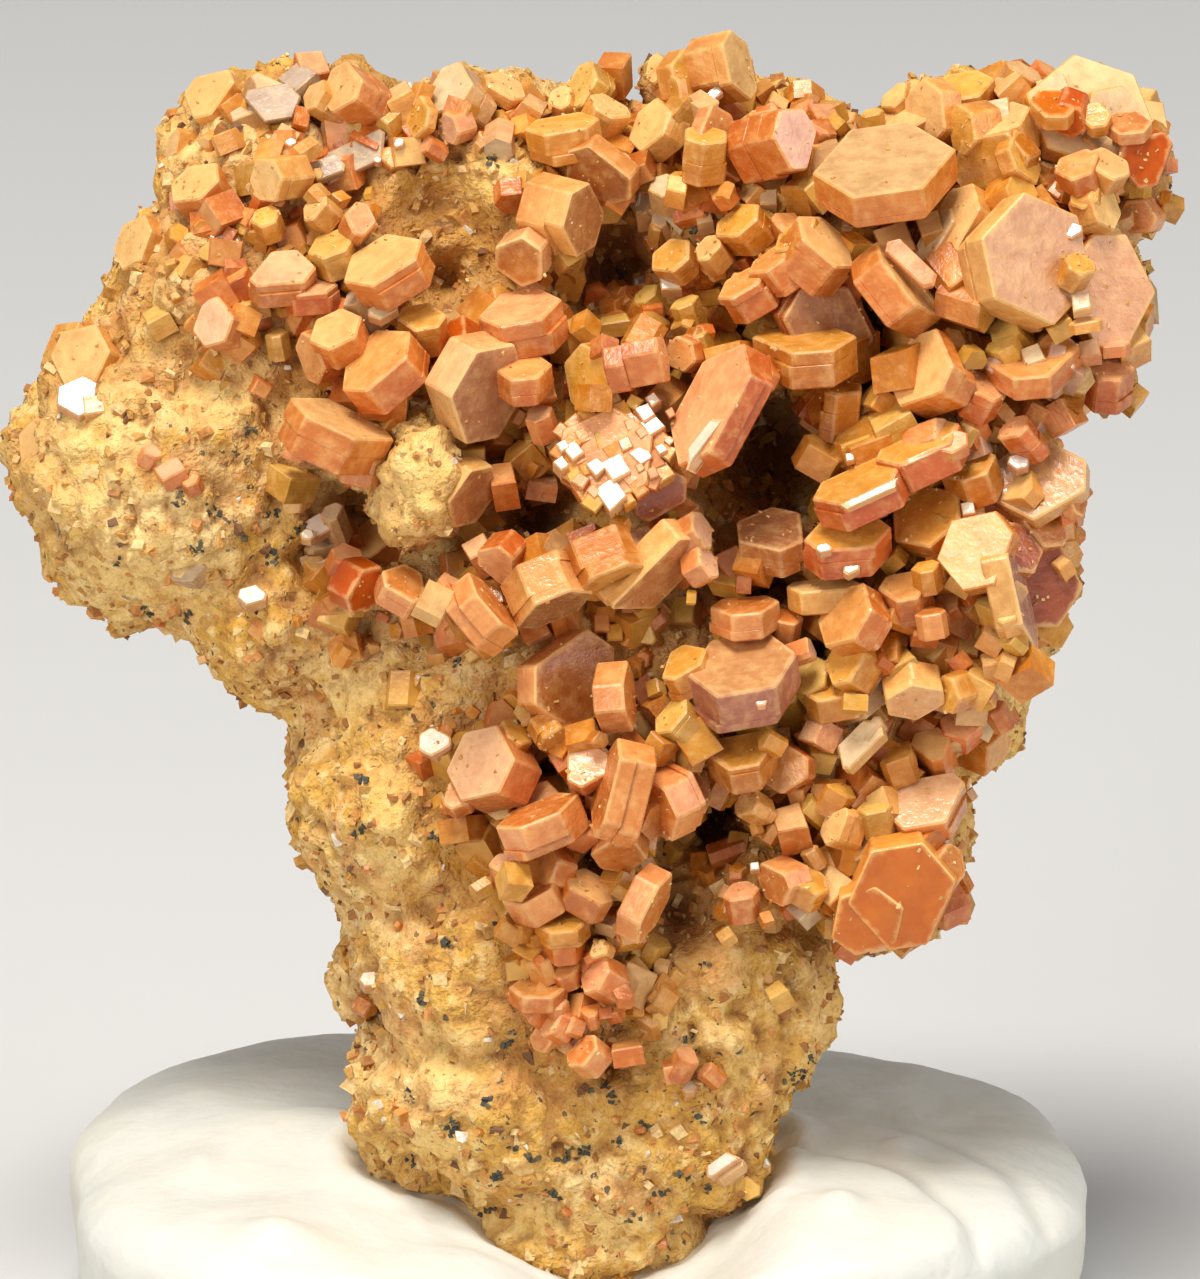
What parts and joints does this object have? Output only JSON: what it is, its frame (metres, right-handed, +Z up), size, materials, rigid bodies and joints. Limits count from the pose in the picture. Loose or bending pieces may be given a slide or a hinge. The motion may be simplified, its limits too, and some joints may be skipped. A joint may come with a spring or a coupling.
{
  "type": "vanadinite specimen",
  "caption": "Hexagonal orange-brown vanadinite crystals on a leaning ochre matrix, its foot pressed into a flat-bottomed lump of white mineral tack.",
  "frame": {"origin": "middle of the flat underside of the mineral tack", "axes": "+Z up, +X to the viewer's right of the display face, -Y towards the viewer; the display face leans back by 16 degrees"},
  "size_m": [0.0371, 0.026, 0.0419],
  "materials": {
    "ochre_matrix": "dull, granular limonite and barite rock, ochre with cream, brown and black spots",
    "vanadinite": "resinous tan-orange crystal with paler dusted edges",
    "pale_vanadinite": "pale, dusted crystal",
    "deep_orange_vanadinite": "resinous deep orange crystal, a little translucent",
    "white_mineral_tack": "smooth kneaded warm white putty, slightly satin"
  },
  "bodies": {
    "root": {"barred_plate_cluster": "vanadinite", "centre_cluster": "vanadinite", "corner_block": "pale_vanadinite", "crest_block": "vanadinite", "crest_cluster": "vanadinite", "crest_pair": "vanadinite", "crest_slab": "pale_vanadinite", "hanging_block": "vanadinite", "hollow_edge_pair": "deep_orange_vanadinite", "large_facing_plate": "vanadinite", "large_upper_plate": "vanadinite", "leaning_plate": "vanadinite", "left_centre_cluster": "vanadinite", "left_crest_cluster": "vanadinite", "left_edge_chip": "pale_vanadinite", "left_edge_plate": "pale_vanadinite", "left_edge_sliver": "pale_vanadinite", "left_face_crystal": "vanadinite", "left_recess_pair": "deep_orange_vanadinite", "left_shoulder_crystal": "vanadinite", "long_pink_slab": "vanadinite", "lower_centre_cluster": "vanadinite", "lower_left_cluster": "vanadinite", "lower_right_pair": "vanadinite", "matrix": "ochre_matrix", "mauve_banded_plates": "vanadinite", "middle_right_cluster": "vanadinite", "mineral_tack_base": "white_mineral_tack", "notch_crystal": "vanadinite", "orange_plate_cluster": "vanadinite", "orange_side_plate": "deep_orange_vanadinite", "right_bank_cube": "vanadinite", "right_edge_block": "vanadinite", "right_edge_cube": "vanadinite", "right_side_pair": "vanadinite", "slab_by_hollow": "vanadinite", "stem_ledge_plate": "vanadinite", "stem_lower_crystal": "vanadinite", "stem_row_cluster": "vanadinite", "stem_upper_crystal": "vanadinite", "stepped_plates": "vanadinite", "tan_side_plate": "vanadinite", "top_right_cluster": "vanadinite", "upper_centre_cluster": "vanadinite", "upper_centre_pair": "vanadinite", "upper_hexagon": "deep_orange_vanadinite", "upper_left_bead": "vanadinite", "upper_left_pair": "vanadinite", "upper_row_cluster": "vanadinite", "upright_column": "vanadinite", "wedge_plate": "vanadinite", "white_crystal": "vanadinite"}
  },
  "joints": []
}
